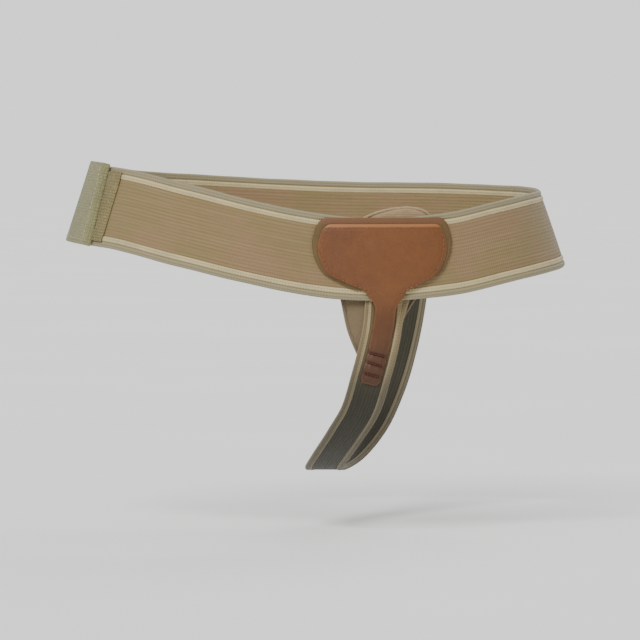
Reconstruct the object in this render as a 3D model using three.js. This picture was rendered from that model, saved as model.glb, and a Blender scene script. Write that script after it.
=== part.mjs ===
// A single-sided hernia belt in the form that it has when worn.
// An elastic band goes round the hips and closes with hook and loop at the right hip. A leather plate on
// its front carries a groin pad on the body side, and a leather tongue that holds the top of a leg strap.
// The leg strap runs down over the pad's tip, between the legs, and up to the back of the band.
// X points to the wearer's left, Z up, and the front faces -Y. The origin is the middle of the hip loop.
// All sizes are in millimetres, and angles round the hips are in degrees from the front, left positive.

import * as THREE from "three";

const GAP = 0.3; // between pieces that lie on each other

// The hips, at the middle line of the band
const HIP_WIDTH = 288;
const HIP_DEPTH = 206;
const HIP_SQUARENESS = 2.3; // 2 is a plain ellipse
const HIP_DIP = 35; // from the highest point of the band to its lowest
const HIP_LEAN = 19; // degrees by which the lower edge stands out, where it stands out most
const HIP_COURSE = [
  { at: -180, height: 0.4, lean: 0.55 },
  { at: -135, height: 0.68, lean: 0.8 },
  { at: -90, height: 1, lean: 0.95 },
  { at: -63.5, height: 0.86, lean: 0.62 },
  { at: -44, height: 0.34, lean: 0.2 },
  { at: -22, height: -0.28, lean: -0.1 },
  { at: 0, height: -0.72, lean: -0.16 },
  { at: 21, height: -0.87, lean: -0.16 },
  { at: 42, height: -0.66, lean: -0.06 },
  { at: 56, height: -0.3, lean: 0.3 },
  { at: 71, height: 0.0, lean: 0.75 },
  { at: 90, height: 0.17, lean: 1 },
  { at: 135, height: 0.34, lean: 0.8 },
];

// Elastic band: a woven middle between two thicker edges
const BAND_WIDTH = 50;
const BAND_THICKNESS = 1.8;
const EDGE_WIDTH = 7;
const EDGE_THICKNESS = 2.4;
const BAND_STEP = 9; // length of one facet along the band

// Closure at the right hip
const CLOSURE_ANGLE = -70; // where the upper layer of the band ends
const CLOSURE_OVERLAP = 70;
const CLOSURE_RAMP = 60; // length in which the upper layer lifts over the lower one
const TAB_LENGTH = 60;
const TAB_OVERHANG = 1; // how far the tab stands past each edge of the band
const TAB_THICKNESS = 1.4;
const TAB_LIP = 1.4; // the turned end that covers the cut end of the band
const PATCH_SHOWING = 14; // of the hook patch, in front of the tab
const PATCH_SLANT = 5; // less of it shows at the lower edge
const PATCH_HEIGHT = 44;
const PATCH_THICKNESS = 1.2;

// Leather plate on the front of the band
const PLATE_OFFSET = 37.6; // from the middle of the front to the plate's middle
const PLATE_WIDTH = 87;
const PLATE_HEIGHT = 44;
const PLATE_TOP = 25.6; // above the middle line of the band
const PLATE_THICKNESS = 1.4;
const FACING_INSET = 3.8; // the facing's border inside the plate's edge
const FACING_THICKNESS = 1.4;
const PLATE_OUTLINE = [
  { down: 0, half: 0.86 },
  { down: 0.07, half: 0.955 },
  { down: 0.16, half: 0.987 },
  { down: 0.34, half: 1 },
  { down: 0.55, half: 0.935 },
  { down: 0.76, half: 0.79 },
  { down: 0.88, half: 0.58 },
  { down: 0.96, half: 0.42 },
  { down: 1, half: 0.33 },
];

// Leather tongue from the facing down the leg strap
const TONGUE_WIDTH = 12.4;
const TONGUE_LENGTH = 58; // below the plate
const TONGUE_DROP = 22; // length in which the tongue comes down from the band to the strap
const NECK_SPREAD = 12; // height below the plate over which the facing narrows to the tongue

// Groin pad on the body side
const PAD_WIDTH = 66;
const PAD_HEIGHT = 100;
const PAD_TOP = 31.5; // above the middle line of the band at the plate
const PAD_SHIFT = 5; // from the plate's middle to the pad's
const PAD_DOME = 21; // thickness at its highest
const PAD_RIM = 4.5; // thickness near its rim
const PAD_OUTLINE = [
  { down: 0, left: 0.42, right: 0.42 },
  { down: 0.01, left: 0.08, right: 0.68 },
  { down: 0.04, left: -0.32, right: 0.86 },
  { down: 0.1, left: -0.68, right: 0.97 },
  { down: 0.2, left: -0.88, right: 1 },
  { down: 0.35, left: -0.95, right: 0.9 },
  { down: 0.47, left: -0.9, right: 0.66 },
  { down: 0.59, left: -0.8, right: 0.38 },
  { down: 0.75, left: -0.67, right: 0.1 },
  { down: 0.9, left: -0.49, right: -0.06 },
  { down: 0.97, left: -0.4, right: -0.14 },
  { down: 1, left: -0.27, right: -0.27 },
];

// Leg strap
const STRAP_WIDTH = 24;
const STRAP_THICKNESS = 1.6;
const STRAP_EDGE_WIDTH = 4.4;
const STRAP_EDGE_THICKNESS = 2;
const STRAP_FLARE = 4; // extra width of the left edge at the strap's top
const STRAP_FLARE_LENGTH = 56;
const STRAP_SEAT = 0.5; // gap between the strap and what it lies on
const STRAP_STEP = 8; // length of one facet along the strap
const CROTCH_DROP = 148; // from the middle of the hip loop to the lowest point of the strap
const REAR_ANGLE = 150; // where the strap meets the back of the band
const REAR_TAB_LENGTH = 40;
const REAR_TAB_WIDTH = 30;
const REAR_TAB_THICKNESS = 1.4;
// On the band's front: rise above the band's middle as a share of the band's width,
// and aside of the plate's middle as a share of the strap's width
const STRAP_FRONT = [
  { rise: 0.3, aside: 0.12 },
  { rise: -0.1, aside: 0.1 },
  { rise: -0.52, aside: 0.07 },
  { rise: -0.84, aside: 0.02 },
  { rise: -1.16, aside: -0.09 },
  { rise: -1.42, aside: -0.2 },
];
// Between the legs: across as a share of the plate's offset, back as a share of half the hips' depth,
// and down as a share of the crotch drop
const STRAP_UNDER = [
  { across: 0.66, back: -0.79, down: 0.72 },
  { across: 0.43, back: -0.62, down: 0.827 },
  { across: 0.21, back: -0.4, down: 0.919 },
  { across: 0.07, back: -0.14, down: 0.985 },
  { across: 0.16, back: 0.14, down: 1 },
  { across: 0.48, back: 0.41, down: 0.95 },
  { across: 0.9, back: 0.7, down: 0.82 },
  { across: 1.25, back: 0.94, down: 0.61 },
  { across: 1.48, back: 1.05, down: 0.37 },
];
// On the band's back: rise as a share of the band's width
const STRAP_REAR = [{ rise: -0.75 }, { rise: -0.3 }, { rise: 0.12 }, { rise: 0.4 }];

const mix = THREE.MathUtils.lerp;
const smooth = THREE.MathUtils.smoothstep;
const radians = THREE.MathUtils.degToRad;

// A smooth curve through one column of a table's rows. A period joins its last row to its first.
function through(table, key, column, where, period = 0) {
  const count = table.length;
  const row = (i) => {
    if (!period) return table[THREE.MathUtils.clamp(i, 0, count - 1)];
    const turns = Math.floor(i / count);
    const found = table[i - turns * count];
    return { [key]: found[key] + turns * period, [column]: found[column] };
  };
  const start = table[0][key];
  const place = period ? start + THREE.MathUtils.euclideanModulo(where - start, period) : where;
  let i = 0;
  while (i < count - (period ? 1 : 2) && row(i + 1)[key] <= place) i += 1;
  const [before, low, high, after] = [row(i - 1), row(i), row(i + 1), row(i + 2)];
  const span = high[key] - low[key];
  const slope = (from, to) => (to[key] > from[key] ? (to[column] - from[column]) / (to[key] - from[key]) : 0);
  const t = THREE.MathUtils.clamp((place - low[key]) / span, 0, 1);
  const [t2, t3] = [t * t, t * t * t];
  return (
    low[column] * (2 * t3 - 3 * t2 + 1) +
    high[column] * (3 * t2 - 2 * t3) +
    slope(before, high) * span * (t3 - 2 * t2 + t) +
    slope(low, after) * span * (t3 - t2)
  );
}

// The middle line of the band at an angle round the hips
function hipLine(angle) {
  const [sin, cos] = [Math.sin(radians(angle)), Math.cos(radians(angle))];
  const across = Math.abs((2 * sin) / HIP_WIDTH) ** HIP_SQUARENESS;
  const along = Math.abs((2 * cos) / HIP_DEPTH) ** HIP_SQUARENESS;
  const reach = (across + along) ** (-1 / HIP_SQUARENESS);
  const height = (HIP_DIP / 2) * through(HIP_COURSE, "at", "height", angle, 360);
  return new THREE.Vector3(reach * sin, -reach * cos, height);
}

// Lengths along the middle line, from the middle of the front, one for each degree
const HIP_LENGTHS = [0];
for (let angle = 1; angle <= 360; angle += 1) {
  HIP_LENGTHS.push(HIP_LENGTHS[angle - 1] + hipLine(angle).distanceTo(hipLine(angle - 1)));
}
const HIP_LOOP = HIP_LENGTHS[360];

function lengthTo(angle) {
  const turns = Math.floor(angle / 360);
  const rest = angle - turns * 360;
  const whole = Math.floor(rest);
  const next = HIP_LENGTHS[Math.min(whole + 1, 360)];
  return turns * HIP_LOOP + mix(HIP_LENGTHS[whole], next, rest - whole);
}

function angleAt(length) {
  const turns = Math.floor(length / HIP_LOOP);
  const rest = length - turns * HIP_LOOP;
  let whole = HIP_LENGTHS.findIndex((reached) => reached > rest) - 1;
  if (whole < 0) whole = 359;
  const [low, high] = [HIP_LENGTHS[whole], HIP_LENGTHS[whole + 1]];
  return turns * 360 + whole + (rest - low) / (high - low);
}

// The band's own directions at a length along it: along it, up across it, and out of its face
function bandFrame(length) {
  const angle = angleAt(length);
  const origin = hipLine(angle);
  const along = hipLine(angle + 0.5).sub(hipLine(angle - 0.5)).normalize();
  const level = new THREE.Vector3(along.y, -along.x, 0).normalize();
  const upright = level.clone().cross(along);
  const lean = radians(HIP_LEAN * through(HIP_COURSE, "at", "lean", angle, 360));
  const up = upright.clone().multiplyScalar(Math.cos(lean)).addScaledVector(level, -Math.sin(lean));
  const out = level.multiplyScalar(Math.cos(lean)).addScaledVector(upright, Math.sin(lean));
  return { origin, along, up, out };
}

// A point at a length along the band, a rise above its middle line and a depth out of its middle layer
function onBand(length, rise, depth) {
  const frame = bandFrame(length);
  return frame.origin.addScaledVector(frame.up, rise).addScaledVector(frame.out, depth);
}

// Moves every vertex of a geometry that was made flat
function shaped(geometry, place) {
  const position = geometry.getAttribute("position");
  const vertex = new THREE.Vector3();
  for (let i = 0; i < position.count; i += 1) {
    vertex.fromBufferAttribute(position, i);
    const moved = place(vertex.x, vertex.y, vertex.z);
    position.setXYZ(i, moved.x, moved.y, moved.z);
  }
  geometry.computeVertexNormals();
  return geometry;
}

// A flat slab in steps, whose corners run from -1 to 1 on each axis
function slab(stepsX, stepsY) {
  return new THREE.BoxGeometry(2, 2, 2, stepsX, stepsY, 1);
}

// The section of a woven edge, from its inner side at 0 to its rolled outer side
function edgeSection(width, thickness, side) {
  const half = thickness / 2;
  const roll = half * 0.7;
  const section = new THREE.Shape();
  section.moveTo(0, -half * 0.9);
  section.lineTo(side * width * 0.55, -half);
  section.lineTo(side * (width - roll * 0.4), -roll * 0.75);
  section.lineTo(side * width, 0);
  section.lineTo(side * (width - roll * 0.4), roll * 0.75);
  section.lineTo(side * width * 0.55, half);
  section.lineTo(0, half * 0.9);
  section.closePath();
  return section;
}

const PLATE_LENGTH = lengthTo(angleAt(PLATE_OFFSET));
const CLOSURE_END = HIP_LOOP + lengthTo(CLOSURE_ANGLE);
const CLOSURE_START = CLOSURE_END - HIP_LOOP - CLOSURE_OVERLAP;
const PATCH_DEPTH = EDGE_THICKNESS / 2 + GAP;
const UPPER_LAYER = PATCH_DEPTH + PATCH_THICKNESS + GAP + EDGE_THICKNESS / 2;
const TAB_DEPTH = UPPER_LAYER + EDGE_THICKNESS / 2 + GAP;

// How far the band's middle layer lifts at a length, so that its closing end lies over its starting end
function bandLift(length) {
  const lifted = CLOSURE_END - CLOSURE_OVERLAP;
  return UPPER_LAYER * smooth(length, lifted - CLOSURE_RAMP, lifted);
}

const BAND_END = CLOSURE_END - TAB_LIP - GAP;
const BAND_STEPS = Math.round((BAND_END - CLOSURE_START) / BAND_STEP);

function waistBand() {
  const half = BAND_WIDTH / 2 - EDGE_WIDTH - GAP;
  return shaped(slab(BAND_STEPS, 2), (x, y, z) => {
    const length = mix(CLOSURE_START, BAND_END, (x + 1) / 2);
    return onBand(length, half * y, bandLift(length) + (BAND_THICKNESS / 2) * z);
  });
}

function bandEdge(side) {
  const section = edgeSection(EDGE_WIDTH, EDGE_THICKNESS, side);
  const geometry = new THREE.ExtrudeGeometry(section, { depth: 1, steps: BAND_STEPS, bevelEnabled: false });
  const root = side * (BAND_WIDTH / 2 - EDGE_WIDTH);
  return shaped(geometry, (x, y, z) => {
    const length = mix(CLOSURE_START, BAND_END, z);
    return onBand(length, root + x, bandLift(length) + y);
  });
}

function hookPatch() {
  const [from, to] = [CLOSURE_END - CLOSURE_OVERLAP + GAP, CLOSURE_END + PATCH_SHOWING];
  const steps = Math.round((to - from) / BAND_STEP);
  return shaped(slab(steps, 2), (x, y, z) =>
    onBand(
      mix(from, to - (PATCH_SLANT / 2) * (1 - y), (x + 1) / 2),
      (PATCH_HEIGHT / 2) * y,
      PATCH_DEPTH + (PATCH_THICKNESS / 2) * (z + 1),
    ),
  );
}

// The tab's last facet turns inwards, over the cut end of the band
function closureTab() {
  const steps = Math.round(TAB_LENGTH / BAND_STEP) + 1;
  const half = BAND_WIDTH / 2 + TAB_OVERHANG;
  const lip = UPPER_LAYER - EDGE_THICKNESS / 2;
  return shaped(slab(steps, 2), (x, y, z) => {
    const step = Math.round(((x + 1) / 2) * steps);
    const last = step === steps;
    const share = Math.min(step / (steps - 1), 1);
    const length = last ? CLOSURE_END : mix(CLOSURE_END - TAB_LENGTH, CLOSURE_END - TAB_LIP, share);
    const inner = last ? lip : TAB_DEPTH;
    return onBand(length, half * y, z > 0 ? TAB_DEPTH + TAB_THICKNESS : inner);
  });
}

// The leather pieces are level, so a height on them is measured from the band's middle line at the plate
const PLATE_LEVEL = onBand(PLATE_LENGTH, 0, 0).z;

function level(aside, height, depth) {
  const frame = bandFrame(PLATE_LENGTH + aside);
  const rise = (PLATE_LEVEL + height - frame.origin.z) / frame.up.z;
  return frame.origin.addScaledVector(frame.up, rise).addScaledVector(frame.out, depth);
}

const PLATE_DEPTH = EDGE_THICKNESS / 2 + GAP;
const FACING_DEPTH = PLATE_DEPTH + PLATE_THICKNESS + GAP;

function leatherPlate() {
  return shaped(slab(14, 12), (x, y, z) => {
    const down = (1 - y) / 2;
    const half = (PLATE_WIDTH / 2) * through(PLATE_OUTLINE, "down", "half", down);
    return level(half * x, PLATE_TOP - PLATE_HEIGHT * down, PLATE_DEPTH + (PLATE_THICKNESS / 2) * (z + 1));
  });
}

// The strap's line, with the direction out of its face at each of its points
const STRAP_DEPTH = -(EDGE_THICKNESS / 2 + STRAP_SEAT + STRAP_EDGE_THICKNESS / 2);
const REAR_LENGTH = lengthTo(REAR_ANGLE);

function strapLine() {
  const rows = STRAP_FRONT.map(({ rise, aside }) => {
    const length = PLATE_LENGTH + aside * STRAP_WIDTH;
    return { point: onBand(length, rise * BAND_WIDTH, STRAP_DEPTH), out: bandFrame(length).out };
  });
  for (const { across, back, down } of STRAP_UNDER) {
    rows.push({
      point: new THREE.Vector3(across * PLATE_OFFSET, (back * HIP_DEPTH) / 2, -down * CROTCH_DROP),
    });
  }
  for (const { rise } of STRAP_REAR) {
    rows.push({
      point: onBand(REAR_LENGTH, rise * BAND_WIDTH, -STRAP_DEPTH),
      out: bandFrame(REAR_LENGTH).out,
    });
  }
  rows.forEach((row, i) => {
    if (row.out) return;
    const run = rows[i + 1].point.clone().sub(rows[i - 1].point);
    row.out = new THREE.Vector3(0, run.z, -run.y).normalize();
  });
  return rows;
}

const STRAP_ROWS = strapLine();
const STRAP_CURVE = new THREE.CatmullRomCurve3(STRAP_ROWS.map((row) => row.point));
const STRAP_FACES = new THREE.CatmullRomCurve3(STRAP_ROWS.map((row) => row.out));
const STRAP_LENGTH = STRAP_CURVE.getLength();
const STRAP_STEPS = Math.round(STRAP_LENGTH / STRAP_STEP);

// How much a flat strap has to drop at a distance from its middle to follow the band's round face
function bandRoundness(length, reach) {
  const [middle, aside] = [bandFrame(length), bandFrame(length + reach)];
  const drop = middle.origin.clone().sub(aside.origin).dot(middle.out);
  return drop / reach ** 2;
}

// On the strap's left and right side. At the back of the band the strap's left is the band's other way.
const FRONT_ROUNDNESS = [1, -1].map((side) => bandRoundness(PLATE_LENGTH, (side * STRAP_WIDTH) / 2));
const REAR_ROUNDNESS = [-1, 1].map((side) => bandRoundness(REAR_LENGTH, (side * REAR_TAB_WIDTH) / 2));

// A point at a length along the strap, aside of its middle line, and out of its middle layer
function onStrap(length, aside, depth) {
  const share = THREE.MathUtils.clamp(length / STRAP_LENGTH, 0, 1);
  const t = STRAP_CURVE.getUtoTmapping(share);
  const along = STRAP_CURVE.getTangent(t);
  const out = STRAP_FACES.getPoint(t);
  out.addScaledVector(along, -out.dot(along)).normalize();
  const across = out.clone().cross(along);
  const front = 1 - smooth(share, 0.25, 0.4);
  const rear = smooth(share, 0.72, 0.86);
  const side = aside > 0 ? 0 : 1;
  const drop = (FRONT_ROUNDNESS[side] * front + REAR_ROUNDNESS[side] * rear) * aside * aside;
  return STRAP_CURVE.getPoint(t).addScaledVector(across, aside).addScaledVector(out, depth - drop);
}

// The strap's left edge is broader where it leaves the band
function edgeBreadth(length, side) {
  if (side < 0) return 1;
  const spread = STRAP_FLARE * (1 - smooth(length, STRAP_FLARE_LENGTH * 0.6, STRAP_FLARE_LENGTH));
  return 1 + spread / STRAP_EDGE_WIDTH;
}

const STRAP_MIDDLE = STRAP_WIDTH / 2 - STRAP_EDGE_WIDTH; // half the width between the edges

function legStrap() {
  return shaped(slab(STRAP_STEPS, 2), (x, y, z) => {
    const length = ((x + 1) / 2) * STRAP_LENGTH;
    return onStrap(length, (STRAP_MIDDLE - GAP) * y, (STRAP_THICKNESS / 2) * z);
  });
}

function strapEdge(side) {
  const section = edgeSection(STRAP_EDGE_WIDTH, STRAP_EDGE_THICKNESS, side);
  const geometry = new THREE.ExtrudeGeometry(section, { depth: 1, steps: STRAP_STEPS, bevelEnabled: false });
  return shaped(geometry, (x, y, z) => {
    const length = z * STRAP_LENGTH;
    return onStrap(length, side * STRAP_MIDDLE + x * edgeBreadth(length, side), y);
  });
}

// The facing is one leather piece: a leaf on the plate that narrows to the tongue on the strap
const FACING_TOP = PLATE_TOP - FACING_INSET;
const LEAF_HEIGHT = PLATE_HEIGHT - FACING_INSET;
const FACING_LENGTH = LEAF_HEIGHT + TONGUE_LENGTH;
const STRAP_TOP = STRAP_FRONT[0].rise * BAND_WIDTH;

function facingHalf(run) {
  const down = THREE.MathUtils.clamp(run / LEAF_HEIGHT, 0, 1);
  const leaf = (PLATE_WIDTH / 2 - FACING_INSET) * through(PLATE_OUTLINE, "down", "half", down);
  const narrowed = smooth(run, LEAF_HEIGHT - NECK_SPREAD / 6, LEAF_HEIGHT + NECK_SPREAD);
  return mix(leaf, TONGUE_WIDTH / 2, narrowed);
}

function leatherFacing() {
  const onTongue = STRAP_THICKNESS / 2 + GAP;
  const clearOfBand = BAND_WIDTH / 2 + FACING_TOP + GAP * 4;
  return shaped(slab(10, 28), (x, y, z) => {
    const run = ((1 - y) / 2) * FACING_LENGTH;
    const aside = facingHalf(run) * x;
    const leather = (FACING_THICKNESS / 2) * (z + 1);
    const leaf = level(aside, FACING_TOP - run, FACING_DEPTH + leather);
    const lowered = smooth(run, clearOfBand, clearOfBand + TONGUE_DROP);
    const depth = mix(FACING_DEPTH - STRAP_DEPTH, onTongue, lowered);
    const tongue = onStrap(STRAP_TOP - FACING_TOP + run, aside, depth + leather);
    return leaf.lerp(tongue, smooth(run, LEAF_HEIGHT - NECK_SPREAD, LEAF_HEIGHT + NECK_SPREAD / 2));
  });
}

// Each ring of the sphere is one section of the pad: flat towards the strap, domed towards the body
function groinPad() {
  const back = STRAP_DEPTH - STRAP_EDGE_THICKNESS / 2 - STRAP_SEAT;
  return shaped(new THREE.SphereGeometry(1, 24, 16), (x, y, z) => {
    const down = (1 - y) / 2;
    const ring = Math.sqrt(Math.max(1 - y * y, 0));
    const across = ring > 0 ? x / ring : 0;
    const left = through(PAD_OUTLINE, "down", "left", down);
    const right = through(PAD_OUTLINE, "down", "right", down);
    const aside = PAD_SHIFT + (PAD_WIDTH / 2) * mix(left, right, (across + 1) / 2);
    const swell = z < 0 ? PAD_RIM / 2 + (PAD_DOME - PAD_RIM / 2) * ring : PAD_RIM / 2;
    const depth = back - PAD_RIM / 2 + (ring > 0 ? swell * (z / ring) : 0);
    return level(aside, PAD_TOP - PAD_HEIGHT * down, depth);
  });
}

function rearTab() {
  const from = STRAP_LENGTH - REAR_TAB_LENGTH;
  const depth = STRAP_EDGE_THICKNESS / 2 + GAP;
  return shaped(slab(5, 4), (x, y, z) =>
    onStrap(
      mix(from, STRAP_LENGTH, (x + 1) / 2),
      (REAR_TAB_WIDTH / 2) * y,
      depth + (REAR_TAB_THICKNESS / 2) * (z + 1),
    ),
  );
}

const TAN_ELASTIC = new THREE.MeshStandardMaterial({ color: 0x99835f, roughness: 0.9, metalness: 0 });
const CREAM_EDGE = new THREE.MeshStandardMaterial({ color: 0xb8ae9a, roughness: 0.85, metalness: 0 });
const PALE_TAB = new THREE.MeshStandardMaterial({ color: 0x99957d, roughness: 0.9, metalness: 0 });
const KHAKI_HOOK = new THREE.MeshStandardMaterial({ color: 0x8c7f5f, roughness: 0.8, metalness: 0 });
const DARK_LEATHER = new THREE.MeshStandardMaterial({ color: 0x7b6342, roughness: 0.6, metalness: 0 });
const BROWN_LEATHER = new THREE.MeshStandardMaterial({ color: 0x875737, roughness: 0.5, metalness: 0 });
const PAD_CLOTH = new THREE.MeshStandardMaterial({ color: 0x96856e, roughness: 0.95, metalness: 0 });
const OLIVE_ELASTIC = new THREE.MeshStandardMaterial({ color: 0x5c5747, roughness: 0.9, metalness: 0 });

function piece(name, geometry, material) {
  const mesh = new THREE.Mesh(geometry, material);
  mesh.name = name;
  return mesh;
}

const band = new THREE.Group();
band.add(piece("waist_band", waistBand(), TAN_ELASTIC));
band.add(piece("upper_edge", bandEdge(1), CREAM_EDGE));
band.add(piece("lower_edge", bandEdge(-1), CREAM_EDGE));
band.add(piece("hook_patch", hookPatch(), KHAKI_HOOK));
band.add(piece("closure_tab", closureTab(), PALE_TAB));

const plate = new THREE.Group();
plate.add(piece("leather_plate", leatherPlate(), DARK_LEATHER));
plate.add(piece("leather_facing", leatherFacing(), BROWN_LEATHER));
plate.add(piece("groin_pad", groinPad(), PAD_CLOTH));

const strap = new THREE.Group();
strap.add(piece("leg_strap", legStrap(), OLIVE_ELASTIC));
strap.add(piece("strap_right_edge", strapEdge(-1), CREAM_EDGE));
strap.add(piece("strap_left_edge", strapEdge(1), CREAM_EDGE));
strap.add(piece("rear_tab", rearTab(), PALE_TAB));

const belt = new THREE.Group();
belt.add(band, plate, strap);

export default belt;
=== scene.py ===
"""A single-sided hernia belt in its worn form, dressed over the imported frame.

Sizes are in millimetres and become metres where a mesh is written. Lengths along the hip band
start at the middle of the front and grow to the wearer's left.
"""
import math
from functools import lru_cache

import bmesh
import bpy
from mathutils import Matrix, Vector


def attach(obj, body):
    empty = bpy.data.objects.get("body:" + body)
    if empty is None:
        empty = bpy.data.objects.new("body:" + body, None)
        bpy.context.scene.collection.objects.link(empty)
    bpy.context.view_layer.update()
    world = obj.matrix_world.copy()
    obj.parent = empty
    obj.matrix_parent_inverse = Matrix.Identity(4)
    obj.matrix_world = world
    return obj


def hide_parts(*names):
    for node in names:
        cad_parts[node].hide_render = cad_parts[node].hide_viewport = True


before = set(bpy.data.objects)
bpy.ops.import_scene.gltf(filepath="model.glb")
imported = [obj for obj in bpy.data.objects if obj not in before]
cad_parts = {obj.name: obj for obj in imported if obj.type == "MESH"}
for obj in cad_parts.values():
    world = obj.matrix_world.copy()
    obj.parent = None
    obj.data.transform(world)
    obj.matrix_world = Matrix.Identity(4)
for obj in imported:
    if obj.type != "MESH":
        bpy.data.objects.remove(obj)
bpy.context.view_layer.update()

MM = 0.001
GAP = 0.3
NEAR = 1e-4

# Hips
HIP_WIDTH = 288
HIP_DEPTH = 206
HIP_SQUARENESS = 2.3
HIP_DIP = 35
HIP_LEAN = 19
# angle, height as a share of half the dip, lean as a share of the greatest lean
HIP_COURSE = [
    (-180, 0.4, 0.55), (-135, 0.68, 0.8), (-90, 1, 0.95), (-63.5, 0.86, 0.62), (-44, 0.34, 0.2),
    (-22, -0.28, -0.1), (0, -0.72, -0.16), (21, -0.87, -0.16), (42, -0.66, -0.06),
    (56, -0.3, 0.3), (71, 0.0, 0.75), (90, 0.17, 1), (135, 0.34, 0.8),
]

# Band and closure
BAND_WIDTH = 50
BAND_THICKNESS = 1.8
EDGE_WIDTH = 7
EDGE_THICKNESS = 2.4
# across as a share of the edge's width, height as a share of half its thickness
EDGE_FACE = [
    (0.0, 0.62), (0.04, 0.86), (0.12, 1.08), (0.24, 1.16), (0.36, 1.04), (0.45, 0.72), (0.49, 0.62),
    (0.54, 0.76), (0.64, 1.0), (0.76, 1.06), (0.87, 0.9), (0.94, 0.66), (0.985, 0.34),
]
CLOSURE_ANGLE = -70
CLOSURE_OVERLAP = 70
CLOSURE_RAMP = 60
TAB_LENGTH = 60
TAB_OVERHANG = 1
TAB_THICKNESS = 1.4
TAB_LIP = 1.4
PATCH_SHOWING = 14
PATCH_SLANT = 5
PATCH_HEIGHT = 44
PATCH_THICKNESS = 1.2

# Leather plate, facing and tongue
PLATE_OFFSET = 37.6
PLATE_WIDTH = 87
PLATE_HEIGHT = 44
PLATE_TOP = 25.6
PLATE_THICKNESS = 1.4
FACING_INSET = 3.8
FACING_THICKNESS = 1.4
# height down from the top as a share, half width as a share
PLATE_OUTLINE = [
    (0, 0.86), (0.02, 0.905), (0.07, 0.955), (0.16, 0.987), (0.34, 1), (0.55, 0.935),
    (0.76, 0.79), (0.88, 0.58), (0.96, 0.42), (1, 0.33),
]
TONGUE_WIDTH = 12.4
TONGUE_LENGTH = 58
TONGUE_DROP = 22
NECK_SPREAD = 12

# Groin pad
PAD_WIDTH = 66
PAD_HEIGHT = 100
PAD_TOP = 31.5
PAD_SHIFT = 5
PAD_DOME = 21
PAD_RIM = 4.5
# height down from the top as a share, left and right edge as shares of half the width
PAD_OUTLINE = [
    (0, 0.42, 0.42), (0.01, 0.08, 0.68), (0.04, -0.32, 0.86), (0.1, -0.68, 0.97), (0.2, -0.88, 1),
    (0.35, -0.95, 0.9), (0.47, -0.9, 0.66), (0.59, -0.8, 0.38), (0.75, -0.67, 0.1),
    (0.9, -0.49, -0.06), (0.97, -0.4, -0.14), (1, -0.27, -0.27),
]

# Leg strap
STRAP_WIDTH = 24
STRAP_THICKNESS = 1.6
STRAP_EDGE_WIDTH = 4.4
STRAP_EDGE_THICKNESS = 2
STRAP_FLARE = 4
STRAP_FLARE_LENGTH = 56
STRAP_SEAT = 0.5
CROTCH_DROP = 148
REAR_ANGLE = 150
REAR_TAB_LENGTH = 40
REAR_TAB_WIDTH = 30
REAR_TAB_THICKNESS = 1.4
# rise as a share of the band's width, aside as a share of the strap's width
STRAP_FRONT = [
    (0.3, 0.12), (-0.1, 0.1), (-0.52, 0.07), (-0.84, 0.02), (-1.16, -0.09), (-1.42, -0.2),
]
# across as a share of the plate's offset, back as a share of half the hips' depth, and down
# as a share of the drop to the crotch
STRAP_UNDER = [
    (0.66, -0.79, 0.72), (0.43, -0.62, 0.827), (0.21, -0.4, 0.919), (0.07, -0.14, 0.985),
    (0.16, 0.14, 1), (0.48, 0.41, 0.95), (0.9, 0.7, 0.82), (1.25, 0.94, 0.61), (1.48, 1.05, 0.37),
]
# rise on the band behind, as a share of its width
STRAP_REAR = [-0.75, -0.3, 0.12, 0.4]
STRAP_STEPS = 200


# The lines that the belt follows

def clamp(value, low=0.0, high=1.0):
    return min(max(value, low), high)


def mix(low, high, share):
    return low + (high - low) * share


def smooth(value, low, high):
    t = clamp((value - low) / (high - low))
    return t * t * (3 - 2 * t)


def through(rows, column, where, period=0.0):
    """A smooth curve through one column of a table. A period joins its last row to its first."""
    count = len(rows)

    def row(i):
        if not period:
            return rows[min(max(i, 0), count - 1)]
        turns, rest = divmod(i, count)
        return (rows[rest][0] + turns * period,) + tuple(rows[rest][1:])

    place = rows[0][0] + (where - rows[0][0]) % period if period else where
    last = count - (1 if period else 2)
    i = 0
    while i < last and row(i + 1)[0] <= place:
        i += 1
    before, low, high, after = row(i - 1), row(i), row(i + 1), row(i + 2)
    span = high[0] - low[0]

    def slope(start, end):
        return (end[column] - start[column]) / (end[0] - start[0]) if end[0] > start[0] else 0.0

    t = clamp((place - low[0]) / span)
    t2, t3 = t * t, t * t * t
    return (low[column] * (2 * t3 - 3 * t2 + 1) + high[column] * (3 * t2 - 2 * t3)
            + slope(before, high) * span * (t3 - 2 * t2 + t)
            + slope(low, after) * span * (t3 - t2))


def hip_line(angle):
    sin, cos = math.sin(math.radians(angle)), math.cos(math.radians(angle))
    across = abs(2 * sin / HIP_WIDTH) ** HIP_SQUARENESS
    along = abs(2 * cos / HIP_DEPTH) ** HIP_SQUARENESS
    reach = (across + along) ** (-1 / HIP_SQUARENESS)
    height = HIP_DIP / 2 * through(HIP_COURSE, 1, angle, 360)
    return Vector((reach * sin, -reach * cos, height))


HIP_LENGTHS = [0.0]
for degree in range(1, 361):
    HIP_LENGTHS.append(HIP_LENGTHS[-1] + (hip_line(degree) - hip_line(degree - 1)).length)
HIP_LOOP = HIP_LENGTHS[360]


def length_to(angle):
    turns, rest = divmod(angle, 360)
    whole = int(rest)
    low, high = HIP_LENGTHS[whole], HIP_LENGTHS[min(whole + 1, 360)]
    return turns * HIP_LOOP + mix(low, high, rest - whole)


def angle_at(length):
    turns, rest = divmod(length, HIP_LOOP)
    whole = next((i for i in range(360) if HIP_LENGTHS[i + 1] > rest), 359)
    low, high = HIP_LENGTHS[whole], HIP_LENGTHS[whole + 1]
    return turns * 360 + whole + (rest - low) / (high - low)


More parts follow.
